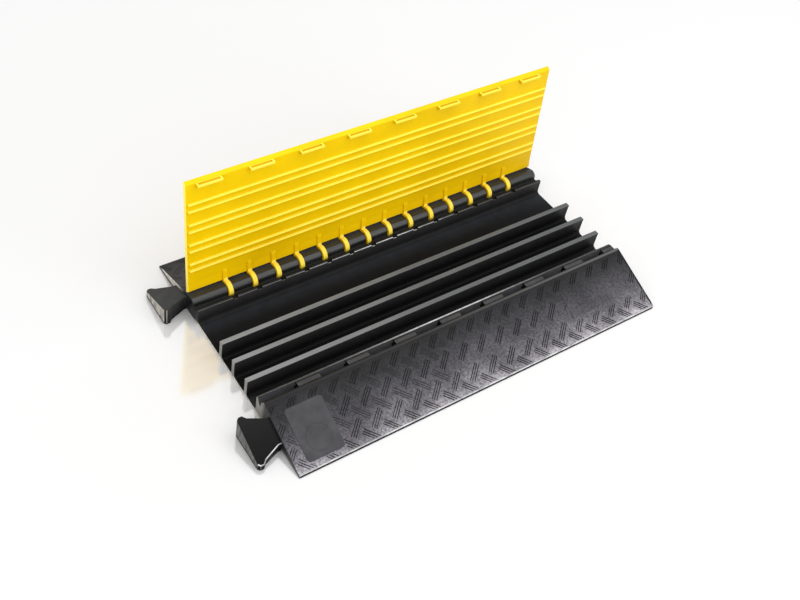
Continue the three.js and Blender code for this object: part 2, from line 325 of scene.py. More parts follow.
def add_islands(obj, shape):
    """Adds closed shapes to obj's mesh as they are."""
    extra = new_object("extra", shape, list(obj.data.materials))
    work = bmesh.new()
    work.from_mesh(obj.data)
    work.from_mesh(extra.data)
    work.to_mesh(obj.data)
    work.free()
    drop(extra)


def finish_mesh(obj):
    work = bmesh.new()
    work.from_mesh(obj.data)
    bmesh.ops.remove_doubles(work, verts=work.verts, dist=WELD * MM)
    bmesh.ops.dissolve_degenerate(work, edges=work.edges, dist=WELD * MM)
    work.to_mesh(obj.data)
    work.free()
    for face in obj.data.polygons:
        face.use_smooth = True
    obj.data.set_sharp_from_angle(angle=math.radians(SHARP_DEG))
    even = obj.modifiers.new("even", "WEIGHTED_NORMAL")
    even.keep_sharp = True
    even.weight = NORMAL_WEIGHT


# ---- tread: groups of three raised bars in a basket weave ----
TREAD_PITCH = 43.6
TREAD_FIRST = -258.0 - 3 * TREAD_PITCH
BAR_LENGTH = 38.0
BAR_SPACING = 4.3
BAR_WIDTH = 3.1
BAR_HEIGHT = 1.3
BAR_MIN = 11.0
FAINT_ABOVE = 100.0  # away from the toe rows, one half of the weave is lower and fainter
FAINT_SHARE = 0.55
FAINTER_PAST = -60.0
BAR_END_SHARE = 0.6
BAR_END = ((0.0, 0.35, 0.0), (0.35, 0.8, 0.62), (1.0, 1.0, 1.0))  # way along the end, width, height
BAR_SECTION = (
    (-0.5, -0.6), (-0.5, 0.0), (-0.4, 0.6), (-0.16, 0.95),
    (0.16, 0.95), (0.4, 0.6), (0.5, 0.0), (0.5, -0.6),
)


def bar(centre, angle, start, end, height, finishes):
    """One bar in (u, v, w), from start to end along its own line, with rounded ends."""
    length = end - start
    round_end = min(BAR_WIDTH * BAR_END_SHARE, length / 3)
    stations = [(start + way * round_end, wide, tall) for way, wide, tall in BAR_END]
    stations += [(end - way * round_end, wide, tall) for way, wide, tall in reversed(BAR_END)]
    c, s = math.cos(angle), math.sin(angle)
    rings = []
    for t, wide, tall in stations:
        ring = []
        for across, up in BAR_SECTION:
            p = across * BAR_WIDTH * wide
            w = up * height * (tall if up > 0 else 1.0)
            ring.append((centre[0] + t * c - p * s, centre[1] + t * s + p * c, w))
        rings.append(ring)
    return loft(rings, finishes, finishes[3])


def tread(u_range, v_range, first_v, keep_out, height, plain, shaded, soft):
    """All bars of the weave that lie in the field and clear of the keep-out rectangles."""
    shapes = []

    def inside(u, v):
        if not (u_range[0] < u < u_range[1] and v_range[0] < v < v_range[1]):
            return False
        return not any(a < u < b and c < v < d for a, b, c, d in keep_out)

    def runs_of(centre, c, s):
        """The stretches of one bar that lie inside, found in steps of half a millimetre."""
        found, begun = [], None
        for k in range(int(2 * BAR_LENGTH) + 1):
            t = -BAR_LENGTH / 2 + k / 2
            ok = inside(centre[0] + t * c, centre[1] + t * s)
            if ok and begun is None:
                begun = t
            if begun is not None and (not ok or k == int(2 * BAR_LENGTH)):
                if t - begun >= BAR_MIN:
                    found.append((begun, t))
                begun = None
        return found

    rows = range(-2, int((v_range[1] - v_range[0]) / TREAD_PITCH) + 4)
    columns = range(-2, int((u_range[1] - u_range[0]) / TREAD_PITCH) + 4)
    for row in rows:
        for column in columns:
            for half, angle in ((0.0, -math.pi / 4), (0.5, math.pi / 4)):
                cu = TREAD_FIRST + TREAD_PITCH * (column + half)
                cv = first_v + TREAD_PITCH * (row + half)
                faint = half > 0.0 and cv < FAINT_ABOVE
                tall = height * (FAINT_SHARE if faint else 1.0)
                # near and far are the finishes of a bar's two long flanks; shaded puts painted shade on one of
                # them, and soft a lighter painted shade on the fainter half left of FAINTER_PAST, with none
                # right of it.
                near, far = (plain, shaded) if half > 0.0 else (shaded, plain)
                if faint:
                    far = soft if cu < FAINTER_PAST else plain
                finishes = [near, near, near, plain, far, far, far, plain]
                c, s = math.cos(angle), math.sin(angle)
                for k in (-1, 0, 1):
                    centre = (cu - k * BAR_SPACING * s, cv + k * BAR_SPACING * c)
                    for start, end in runs_of(centre, c, s):
                        shapes.append(bar(centre, angle, start, end, tall, finishes))
    return joined(*shapes)


def ramp_frame(slope, sign, crest_y, crest_z):
    """Takes (u, v, w) to the model: u along X, v down the ramp from its crest, w out of it."""
    down = Vector((0, sign * math.cos(slope), -math.sin(slope)))
    out = Vector((0, sign * math.sin(slope), math.cos(slope)))
    turn = Matrix((Vector((1, 0, 0)), down, out)).transposed().to_4x4()
    return Matrix.Translation(Vector((0, crest_y, crest_z))) @ turn


front_frame = ramp_frame(front_slope, -1, CREST[0], CREST[1])
tangent = math.pi / 2 - rear_slope
rear_frame = ramp_frame(
    rear_slope, 1, AXIS_Y + BARREL_RADIUS * math.cos(tangent), AXIS_Z + BARREL_RADIUS * math.sin(tangent)
)

# The two smooth places on the front ramp, as (u low, u high, v low, v high)
SMALL_PLATE = (-366.0, -290.0, 22.0, 121.5)
LONG_PLATE = (259.0, 415.0, 29.0, 97.0)
RING_CENTRE = (-327.5, 88.0)
RING_EDGE = 0.5
PLATE_ROOT, PLATE_DRAFT = -1.0, 0.2


def plate(box, corner, height, edge, face, rim):
    """A raised smooth plate with eased edges, in (u, v, w)."""
    u0, u1, v0, v1 = box
    points, _ = outline_of([(u0, v0, corner), (u1, v0, corner), (u1, v1, corner), (u0, v1, corner)])
    rings = [
        [(u, v, PLATE_ROOT) for u, v in points],
        [(u, v, height - edge) for u, v in drawn_in(points, PLATE_DRAFT)],
        [(u, v, height - 0.25 * edge) for u, v in drawn_in(points, PLATE_DRAFT + 0.3 * edge)],
        [(u, v, height) for u, v in drawn_in(points, PLATE_DRAFT + edge)],
    ]
    return loft(rings, [rim] * len(points), face, True, (2,))


def ring_on(centre, inner, outer, low, height, finish, segments=72):
    """A low raised ring, in (u, v, w)."""
    profile = [
        (inner, low), (inner, height * 0.5), (inner + RING_EDGE, height),
        (outer - RING_EDGE, height), (outer, height * 0.5), (outer, low),
    ]
    rings = []
    for k in range(segments + 1):
        a = 2 * math.pi * (k % segments) / segments
        rings.append([(centre[0] + r * math.cos(a), centre[1] + r * math.sin(a), w) for r, w in profile])
    return loft(rings, [finish] * len(profile), finish, capped=False)


# ---- base ----
PAST = 2.0  # how far a cutter or a root reaches past the face it crosses
BASE_END_EASING = 0.6
CHANNEL_ROUND = 7.0
DIVIDER_FOOT, DIVIDER_HEAD = 4.4, 4.9
DIVIDER_FOOT_Z, DIVIDER_HEAD_Z = 36.8, 40.8
DIVIDER_BLEND, DIVIDER_EDGE = 5.0, 0.9
TOE_CORNER, REAR_TOE_CORNER = 2.2, 2.0
CREST_BAND_Y, CREST_FRONT_Y, CREST_REAR_Y = -144.4, -141.4, -139.7
CREST_BAND_PROUD, CREST_DIP = 0.1, 0.02
GROOVE_LIP = (-132.7, 44.0)
GROOVE_FRONT, GROOVE_REAR, GROOVE_Z = -131.5, -127.0, 32.0
GROOVE_ROUND = 1.2
SHELF_FRONT, SHELF_Z = -121.0, 43.5
EDGE_STRIP = 3.4
WALL_TOP_ROUND = 1.3
REAR_SHELF_WIDTH, REAR_SHELF_Z = 5.0, 38.8
BARREL_FOOT, BARREL_FOOT_Z = 14.5, 29.2
BARREL_STEPS = 36

HEAD_NECK, HEAD_FLARE, HEAD_WIDE = 23.5, 36.0, 42.0
NECK_END, FLARE_END, BEAD_START, BEAD_END = 6.0, 37.0, 43.0, 50.0
NECK_ROUND, BEAD_ROUND, TIP_ROUND = 3.0, 1.6, 1.2
TIP_TAPER = 4.0
TIP_FROM, TIP_SIDE_FROM = 52.0, 45.0
HEAD_EASING, POCKET_EASING = 1.4, 0.5
LIT_SIDE = 20.0
HEADS = ((FRONT_HEAD_Y, front_ramp), (REAR_HEAD_Y, rear_ramp))

# Gaps between the barrels: half widths, each with the radius where it ends
GAP_CORE, GAP_CORE_RADIUS = 5.0, 11.6
GAP_WIDE, GAP_WIDE_RADIUS = 5.8, 12.6
GAP_SEGMENTS, BORE_SEGMENTS = 96, 48
NOTCH_HALF, NOTCH_DEPTH = 5.5, 12.0
NOTCH_LOW, NOTCH_TOP = 35.2, 45.0
RIM_LIP_X, RIM_LIP_Y, RIM_LIP_Z = (-4.5, 3.0), (-0.25, 0.8), (34.4, 35.35)
LUG_SECTION = (
    (-132.5, 31.0, 0.0, SHELF, SHELF),
    (-126.0, 31.0, 0.0, SHELF, SHELF),
    (-120.0, 42.5, 0.0, SHELF, SHELF),
    (-121.0, 44.4, 0.9, RUBBER, RUBBER),
    (-125.0, 44.4, 0.0, PLATE, PLATE),
    (-132.1, 44.4, 1.1, PLATE, SHELF),
    (-133.3, 43.4, 0.0, SHELF, SHELF),
)
LUG_EASING = 0.5
LUG_HOLE_START, LUG_HOLE_END = 4.2, 0.2
LUG_HOLE_Y, LUG_HOLE_Z = (-132.6, -124.0), (24.0, 47.0)
CORNER_STEPS = 12
CORNER_TOP = 20.0

# On the front ramp, in (v, w) or (distance from the right end, v)
TOE_LIP = ((132.9, -0.8, 0.0), (132.9, 0.2, 0.2), (133.5, 0.5, 0.4), (134.5, 0.45, 0.3), (134.7, -0.8, 0.0))
END_BORDER = ((4.0, 0.5), (0.3, 0.5), (0.3, 126.0), (2.5, 129.0), (4.0, 129.0))
END_BORDER_W = (-1.0, 0.2)
PLATE_MARGIN, TREAD_MARGIN = 1.2, 1.5
FRONT_TREAD_V, FRONT_TREAD_FIRST = (8.0, 131.0), 15.4
REAR_TREAD_V, REAR_TREAD_FIRST = (20.0, 132.0), 37.0


def divider_corners(c):
    return [
        (c - DIVIDER_FOOT, FLOOR_Z, CHANNEL_ROUND),
        (c - DIVIDER_FOOT, DIVIDER_FOOT_Z, DIVIDER_BLEND),
        (c - DIVIDER_HEAD, DIVIDER_HEAD_Z, DIVIDER_BLEND),
        # The divider's top takes a painted highlight.
        (c - DIVIDER_HEAD, DIVIDER_Z, DIVIDER_EDGE, RIDGE, RIDGE),
        (c + DIVIDER_HEAD, DIVIDER_Z, DIVIDER_EDGE),
        (c + DIVIDER_HEAD, DIVIDER_HEAD_Z, DIVIDER_BLEND),
        (c + DIVIDER_FOOT, DIVIDER_FOOT_Z, DIVIDER_BLEND),
        (c + DIVIDER_FOOT, FLOOR_Z, CHANNEL_ROUND),
    ]


def base_outline():
    """The base's section, from the front toe over the dividers and the barrel to the rear toe."""
    corners = [
        # The toe's face takes painted shade.
        (FRONT_TOE, 0.0, 0.0, RECESS, RECESS),
        (FRONT_TOE, front_ramp(FRONT_TOE), TOE_CORNER, RECESS, RAMP),
        # The crest band takes a painted highlight.
        (CREST_BAND_Y, front_ramp(CREST_BAND_Y) + CREST_BAND_PROUD, 0.0, CREST_LINE, CREST_LINE),
        (CREST_FRONT_Y, CREST_Z - CREST_DIP, 3.0, CREST_LINE, CREST_LINE),
        (CREST_REAR_Y, CREST_Z, 1.3, CREST_LINE, SHELF),
        # Painted light: the latch groove takes the plate's lighter finish in place of its shade.
        (*GROOVE_LIP, 0.8, PLATE, PLATE),
        (GROOVE_FRONT, GROOVE_Z, GROOVE_ROUND, PLATE, PLATE),
        (GROOVE_REAR, GROOVE_Z, GROOVE_ROUND, PLATE, PLATE),
        (SHELF_FRONT, SHELF_Z, 1.0, SHELF, SHELF),
        # The front wall's top edge takes a painted highlight.
        (FRONT_WALL - EDGE_STRIP, SHELF_Z, 0.0, EDGE, EDGE),
        (FRONT_WALL, SHELF_Z, WALL_TOP_ROUND, EDGE, RUBBER),
        (FRONT_WALL, FLOOR_Z, CHANNEL_ROUND, RUBBER, SHELF),
    ]
    for c in DIVIDERS:
        corners += divider_corners(c)
    corners += [
        (REAR_WALL, FLOOR_Z, CHANNEL_ROUND),
        # The rear wall's rim edge takes a painted highlight.
        (REAR_WALL, REAR_SHELF_Z, 1.2, EDGE, RUBBER),
        (REAR_WALL + REAR_SHELF_WIDTH, REAR_SHELF_Z, 1.4),
        (REAR_WALL + BARREL_FOOT, BARREL_FOOT_Z, 2.5),
    ]
    first = math.pi + math.asin((AXIS_Z - BARREL_FOOT_Z) / BARREL_RADIUS)
    for k in range(BARREL_STEPS + 1):
        a = first + (tangent - first) * k / BARREL_STEPS
        run = BARREL if k < BARREL_STEPS else RUBBER
        y, z = AXIS_Y + BARREL_RADIUS * math.cos(a), AXIS_Z + BARREL_RADIUS * math.sin(a)
        corners.append((y, z, 0.0, run, run))
    corners += [(REAR_TOE, rear_ramp(REAR_TOE), REAR_TOE_CORNER), (REAR_TOE, 0.0, 0.0)]
    return outline_of(corners)


def head_outline(grow, face_x, centre_y):
    """A dovetail head from above, grown all round by grow, standing out of the end face at face_x."""
    neck, flare, wide = HEAD_NECK + grow, HEAD_FLARE + grow, HEAD_WIDE + grow
    side = [
        (-PAST, neck, 0.0), (NECK_END, neck, NECK_ROUND), (FLARE_END, flare, NECK_ROUND),
        (BEAD_START, wide, BEAD_ROUND), (BEAD_END, wide, BEAD_ROUND),
        (HEAD_REACH + grow, wide - TIP_TAPER, TIP_ROUND),
    ]
    corners = []
    for x, y, r in side:
        # The tip's faces take a painted reflection.
        finish = TIP if x > TIP_FROM else RUBBER
        corners.append((face_x - x, centre_y + y, r, finish, finish))
    for x, y, r in reversed(side):
        corners.append((face_x - x, centre_y - y, r, TIP if x > TIP_SIDE_FROM else RUBBER, RUBBER))
    return outline_of(corners)


def finger_centre(i):
    return BODY_MIDDLE + FINGER_PITCH * (i - (FINGER_COUNT - 1) / 2)


def tab_centre(i):
    return BODY_LEFT + TAB_START + TAB_PITCH * i


FINGERS = [finger_centre(i) for i in range(FINGER_COUNT)]


def bore_cutter(x0, x1, cy, cz, finish=0):
    return lathe_x([(x0, 0.0), (x0, BORE_RADIUS), (x1, BORE_RADIUS), (x1, 0.0)], BORE_SEGMENTS, cy, cz, finish)


def hinge_gap(x):
    """The gap between two barrels that takes one of the lid's fingers; its faces take painted shade."""
    half = [(GAP_CORE, 0.0), (GAP_CORE, GAP_CORE_RADIUS), (GAP_WIDE, GAP_WIDE_RADIUS), (GAP_WIDE, SLOT_RADIUS)]
    profile = [(-a, r) for a, r in half] + half[::-1]
    return lathe_x([(x + a, r) for a, r in profile], GAP_SEGMENTS, AXIS_Y, AXIS_Z, RECESS)


# A notch in the rear wall's rim at a finger; its faces take painted shade.
def rim_notch(x):
    low, high = REAR_WALL - PAST, REAR_WALL + NOTCH_DEPTH
    return block(x - NOTCH_HALF, x + NOTCH_HALF, low, high, NOTCH_LOW, NOTCH_TOP, RECESS)


# A thin strip on the rear wall's rim beside each finger, bearing a painted highlight.
def rim_lip(x):
    (x0, x1), (y0, y1) = RIM_LIP_X, RIM_LIP_Y
    return block(x + x0, x + x1, REAR_WALL + y0, REAR_WALL + y1, *RIM_LIP_Z, EDGE)


def lugs_and_holes():
    """The lugs beside the tabs' places in the latch groove, and the small hole at each lug's left end. The
    holes, and the ends of every lug but the last, take painted shade.
    """
    section = outline_of(LUG_SECTION)
    lugs, holes = [], []
    for i in range(TAB_COUNT):
        last = i == TAB_COUNT - 1
        x0 = tab_centre(i) + TAB_WIDTH / 2 + LUG_GAP
        x1 = BODY_RIGHT if last else tab_centre(i + 1) - TAB_WIDTH / 2 - LUG_GAP
        lugs.append(along_x(section, x0, x1, LUG_EASING, SHELF if last else RECESS))
        holes.append(block(x0 - LUG_HOLE_START, x0 - LUG_HOLE_END, *LUG_HOLE_Y, *LUG_HOLE_Z, RECESS))
    return lugs, holes


def dovetail_head(centre_y, ramp):
    outline = head_outline(0.0, BODY_LEFT, centre_y)
    # The front head's lower front edge takes the toe's painted highlight.
    lit = [TOE if y < centre_y - LIT_SIDE and centre_y < 0 else RUBBER for _, y in outline[0]]
    return up_z(outline, 0.0, lambda y: ramp(y) - HEAD_DROP, HEAD_EASING, RUBBER, lit)


def dovetail_pocket(centre_y, ramp):
    points, _ = head_outline(POCKET_GAP, BODY_RIGHT, centre_y)
    # The pocket's faces take painted shade.
    dark = [RECESS] * len(points)
    return up_z((points, dark), -PAST, lambda y: ramp(y) - POCKET_ROOF, POCKET_EASING, RECESS)


def corner_rounding():
    """What is cut away at the front right corner."""
    x, y = BODY_RIGHT - CORNER_ROUND, FRONT_TOE + CORNER_ROUND
    points = [(BODY_RIGHT + PAST, FRONT_TOE - PAST), (BODY_RIGHT + PAST, y)]
    for k in range(CORNER_STEPS + 1):
        a = -math.pi / 2 * k / CORNER_STEPS
        points.append((x + CORNER_ROUND * math.cos(a), y + CORNER_ROUND * math.sin(a)))
    points.append((x, FRONT_TOE - PAST))
    return loft([[(a, b, z) for a, b in points] for z in (-PAST, CORNER_TOP)], [RECESS] * len(points), RECESS)


def ramp_relief():
    """Toe lip, end border, treads, plates and ring, as closed shapes on the two ramps."""
    lip, _ = outline_of(TOE_LIP)
    lip_ends = (BODY_LEFT + BASE_END_EASING, BODY_RIGHT - CORNER_ROUND)
    # The toe lip takes a painted highlight.
    toe_lip = loft([[(u, v, w) for v, w in lip] for u in lip_ends], [TOE] * len(lip), TOE)
    # The end border is a thin strip in RECESS's painted shade along the ramp's right end.
    border_rings = [[(BODY_RIGHT - back, v, w) for back, v in END_BORDER] for w in END_BORDER_W]
    border = loft(border_rings, [RECESS] * len(END_BORDER), RECESS)
    m = PLATE_MARGIN
    keep_out = [(a - m, b + m, c - m, d + m) for a, b, c, d in (SMALL_PLATE, LONG_PLATE)]
    across = (BODY_LEFT + TREAD_MARGIN, BODY_RIGHT - TREAD_MARGIN)
    front = [
        toe_lip,
        border,
        # The bars' shaded flanks take painted shade: RECESS, and SHELF on the fainter half.
        tread(across, FRONT_TREAD_V, FRONT_TREAD_FIRST, keep_out, BAR_HEIGHT, RAMP, RECESS, SHELF),
        # Both plates' rims take the darker SHELF finish as painted shade.
        plate(SMALL_PLATE, corner=7.0, height=0.9, edge=0.8, face=PLATE, rim=SHELF),
        plate(LONG_PLATE, corner=3.0, height=0.7, edge=0.6, face=RAMP, rim=SHELF),
        ring_on(RING_CENTRE, inner=22.5, outer=25.0, low=0.4, height=1.45, finish=PLATE),
    ]
    rear = tread(across, REAR_TREAD_V, REAR_TREAD_FIRST, [], BAR_HEIGHT, RUBBER, RUBBER, RUBBER)
    return [placed(shape, front_frame) for shape in front] + [placed(rear, rear_frame)]


def make_base(materials):
    # The body's end faces take END's painted reflection.
    body = along_x(base_outline(), BODY_LEFT, BODY_RIGHT, BASE_END_EASING, END)
    obj = new_object("base_moulding", body, materials)
    cut(obj, joined(*[hinge_gap(x) for x in FINGERS]), "DIFFERENCE")
    cut(obj, bore_cutter(BODY_LEFT - 1, BORE_END, AXIS_Y, AXIS_Z, RECESS), "DIFFERENCE")
    cut(obj, joined(*[rim_notch(x) for x in FINGERS]), "DIFFERENCE")
    lugs, holes = lugs_and_holes()
    cut(obj, joined(*lugs, *[dovetail_head(y, ramp) for y, ramp in HEADS]), "UNION")
    pockets = [dovetail_pocket(y, ramp) for y, ramp in HEADS]
    cut(obj, joined(*pockets, *holes, corner_rounding()), "DIFFERENCE")
    add_islands(obj, joined(*[rim_lip(x) for x in FINGERS], *ramp_relief()))
    finish_mesh(obj)
    return obj


# ---- lid, drawn shut about the hinge axis and turned open ----
lean = math.radians(LEAN_DEG)
lid_turn = Matrix.Translation(Vector((0, AXIS_Y, AXIS_Z))) @ Matrix.Rotation(-math.pi / 2 - lean, 4, "X")
outer_back = rear_ramp(AXIS_Y + LID_TOP * math.cos(lean)) + STOP_GAP - AXIS_Z + LID_TOP * math.sin(lean)
outer_back /= math.cos(lean)
FREE_INNER, FREE_OUTER = -266.5, -272.9
LID_END_GAP, LID_EASING = 1.0, 1.0
LID_HEEL = ((-14.2, 12.6, 1.2), (-15.6, 11.1, 1.2), (-21.0, 11.5, 8.0))
LID_HEEL_END, LID_HEEL_ROUND = -33.0, 14.0
LID_TREAD_V, LID_TREAD_FIRST, LID_TREAD_MARGIN = (24.0, 268.0), 37.0, 2.0
RIB_CENTRES = (-72.8, -119.8, -166.8, -213.8)
RIB_INNER, RIB_OUTER = 5.7, 10.7
RIB_Z = 8.7
RIB_SHORT = 4.5
RIB_ROOT, RIB_TAPER, RIB_EASING = 0.6, 0.6, 0.25
WEB_WIDTH, WEB_EASING = 9.6, 0.6
WEB_END, WEB_TURN, WEB_FOOT, WEB_ROUND = -44.0, -37.0, -20.0, 9.0
RING_RADIUS = 16.6
RING_STEPS = 64
RING_FIRST_DEG, RING_LAST_DEG = 151.0, 488.0
TAB_SET_BACK, TAB_DEPTH, TAB_THICK, TAB_FOOT = 0.9, 8.5, 4.9, 8.0
TAB_ROOT, TAB_ROUND = 1.0, 0.9
TAB_SLOT_X, TAB_SLOT_Y, TAB_SLOT_DROP = (-21.5, 21.0), (-1.0, 1.6), (-6.9, -1.2)


def lid_sheet():
    return outline_of([
        (-outer_back, LID_TOP, 1.6),
        *LID_HEEL,
        (LID_HEEL_END, LID_UNDER, LID_HEEL_ROUND),
        (FREE_INNER, LID_UNDER, 0.9, BODY, BODY),
        (FREE_OUTER, LID_TOP, 1.2),
    ])


def rib_outline(low, high):
    return outline_of([
        (high, LID_UNDER + RIB_ROOT, 0.0),
        (high, LID_UNDER, 0.0),
        (high - RIB_TAPER, RIB_Z, 1.6),
        # The low-side arc and flank, which face up when the lid is open, take a painted highlight.
        (low + RIB_TAPER, RIB_Z, 1.9, BRIGHT, BRIGHT),
        (low, LID_UNDER, 0.0),
        (low, LID_UNDER + RIB_ROOT, 0.0),
    ])


def finger_outline():
    """A hinge finger from its side: the ring round the rod, and the web that runs up the lid from it. The ring
    and the web's foot take a painted highlight.
    """
    points = []
    first, last = math.radians(RING_FIRST_DEG), math.radians(RING_LAST_DEG)
    for k in range(RING_STEPS + 1):
        a = first + (last - first) * k / RING_STEPS
        points.append((RING_RADIUS * math.cos(a), RING_RADIUS * math.sin(a), 0.0, BRIGHT, BRIGHT))
    points += [
        (-outer_back - 1.0, LID_TOP - 1.0, 0.0),
        (WEB_END, LID_TOP - 1.5, 0.0),
        (WEB_END, LID_UNDER + 0.3, 0.0),
        (WEB_TURN, LID_UNDER - 2.6, WEB_ROUND, BODY, BODY),
        (WEB_FOOT, LID_UNDER - 4.3, WEB_ROUND, BRIGHT, BRIGHT),
    ]
    return outline_of(points)


def tab_outline(front):
    # The tab's flank toward the free edge and its tip face take a painted highlight.
    return outline_of([
        (front, LID_UNDER + TAB_ROOT, 0.0, BRIGHT, BRIGHT),
        (front, LID_UNDER - TAB_DEPTH, TAB_ROUND, BRIGHT, BRIGHT),
        (front + TAB_THICK, LID_UNDER - TAB_DEPTH, TAB_ROUND, BRIGHT, BODY),
        (front + TAB_FOOT, LID_UNDER + TAB_ROOT, 0.0),
    ])


def tab_slot(x, front):
    (x0, x1), (y0, y1), (z0, z1) = TAB_SLOT_X, TAB_SLOT_Y, TAB_SLOT_DROP
    return block(x + x0, x + x1, front + y0, front + y1, LID_UNDER + z0, LID_UNDER + z1, SHADE)


def make_lid(materials):
    x0, x1 = BODY_LEFT + LID_END_GAP, BODY_RIGHT - LID_END_GAP
    # The sheet's end faces take a painted highlight.
    obj = new_object("lid_moulding", along_x(lid_sheet(), x0, x1, LID_EASING, LID_END), materials)
    extras = []
    for c in RIB_CENTRES:
        for low, high in ((c + RIB_INNER, c + RIB_OUTER), (c - RIB_OUTER, c - RIB_INNER)):
            extras.append(along_x(rib_outline(low, high), x0 + RIB_SHORT, x1 - RIB_SHORT, RIB_EASING, BODY))
    finger = finger_outline()
    for x in FINGERS:
        extras.append(along_x(finger, x - WEB_WIDTH / 2, x + WEB_WIDTH / 2, WEB_EASING))
    front = FREE_INNER + TAB_SET_BACK
    tab = tab_outline(front)
    tabs = [tab_centre(i) for i in range(TAB_COUNT)]
    for x in tabs:
        extras.append(along_x(tab, x - TAB_WIDTH / 2, x + TAB_WIDTH / 2, TAB_ROUND, SHADE))
    cut(obj, joined(*extras), "UNION")
    cut(obj, joined(*[tab_slot(x, front) for x in tabs]), "DIFFERENCE")
    cut(obj, bore_cutter(BODY_LEFT - 1, BODY_RIGHT, 0.0, 0.0), "DIFFERENCE")
    flip = Matrix(((1, 0, 0, 0), (0, -1, 0, 0), (0, 0, 1, LID_TOP), (0, 0, 0, 1)))
    across = (x0 + LID_TREAD_MARGIN, x1 - LID_TREAD_MARGIN)
    field = tread(across, LID_TREAD_V, LID_TREAD_FIRST, [], LID_BAR_HEIGHT, BODY, BODY, BODY)
    add_islands(obj, placed(field, flip))
    obj.data.transform(Matrix.Scale(MM, 4) @ lid_turn @ Matrix.Scale(1 / MM, 4))
    finish_mesh(obj)
    return obj


# ---- materials ----
MIX_FACTOR, MIX_A, MIX_B, MIX_RESULT = 0, 6, 7, 2  # sockets of a colour Mix node


def grey(level, warm=0.0):
    return (level * (1 + warm), level, level * (1 - warm))


def greys(*stops):
    """Ramp stops from (position, level) pairs."""
    return [(position, grey(level)) for position, level in stops]


class Paint:
    """A Principled material with its node tree at hand."""

    def __init__(self, name, colour, roughness, gloss=0.5):
        self.mat = bpy.data.materials.new(name)
        self.mat.use_nodes = True
        self.nodes, self.links = self.mat.node_tree.nodes, self.mat.node_tree.links
        self.shader = self.nodes["Principled BSDF"]
        self.shader.inputs["Base Color"].default_value = (*colour, 1.0)
        self.shader.inputs["Roughness"].default_value = roughness
        self.shader.inputs["Specular IOR Level"].default_value = gloss
        self.place = self.nodes.new("ShaderNodeTexCoord").outputs["Object"]

    def noise(self, scale, detail, stretch=None):
        made = self.nodes.new("ShaderNodeTexNoise")
        made.inputs["Scale"].default_value = scale
        made.inputs["Detail"].default_value = detail
        source = self.place
        if stretch:
            mapping = self.nodes.new("ShaderNodeMapping")
            mapping.inputs["Scale"].default_value = stretch
            self.links.new(source, mapping.inputs["Vector"])
            source = mapping.outputs["Vector"]
        self.links.new(source, made.inputs["Vector"])
        return made.outputs["Fac"]

    def axis(self, name, low, high):
        """0 to 1 as the object coordinate runs from low to high millimetres."""
        split = self.nodes.new("ShaderNodeSeparateXYZ")
        self.links.new(self.place, split.inputs["Vector"])
        mapped = self.nodes.new("ShaderNodeMapRange")
        mapped.inputs["From Min"].default_value = low * MM
        mapped.inputs["From Max"].default_value = high * MM
        self.links.new(split.outputs[name], mapped.inputs["Value"])
        return mapped.outputs["Result"]

    def ramp(self, source, stops):
        made = self.nodes.new("ShaderNodeValToRGB")
        points = made.color_ramp.elements
        while len(points) > 1:
            points.remove(points[-1])
        points[0].position, points[0].color = stops[0][0], (*stops[0][1], 1.0)
        for position, colour in stops[1:]:
            points.new(position).color = (*colour, 1.0)
        self.links.new(source, made.inputs["Fac"])
        return made.outputs["Color"]

    def blend(self, kind, factor, a, b):
        made = self.nodes.new("ShaderNodeMix")
        made.data_type = "RGBA"
        made.blend_type = kind
        if isinstance(factor, (int, float)):
            made.inputs[MIX_FACTOR].default_value = factor
        else:
            self.links.new(factor, made.inputs[MIX_FACTOR])
        for socket, value in ((made.inputs[MIX_A], a), (made.inputs[MIX_B], b)):
            if isinstance(value, tuple):
                socket.default_value = (*value, 1.0)
            else:
                self.links.new(value, socket)
        return made.outputs[MIX_RESULT]

    def colour(self, source):
        self.links.new(source, self.shader.inputs["Base Color"])

    def rough(self, source, low, high):
        mapped = self.nodes.new("ShaderNodeMapRange")
        mapped.inputs["To Min"].default_value = low
        mapped.inputs["To Max"].default_value = high
        self.links.new(source, mapped.inputs["Value"])
        self.links.new(mapped.outputs["Result"], self.shader.inputs["Roughness"])

    def bump(self, source, strength, distance):
        made = self.nodes.new("ShaderNodeBump")
        made.inputs["Strength"].default_value = strength
        made.inputs["Distance"].default_value = distance * MM
        self.links.new(source, made.inputs["Height"])
        self.links.new(made.outputs["Normal"], self.shader.inputs["Normal"])


RAMP_TOP_Y, RAMP_FOOT_Y = -139.0, -268.0  # where the front ramp's painted sheen, near black at the crest and pale at the toe, begins and ends
LID_FOOT_Z, LID_HEAD_Z = 40.0, 300.0


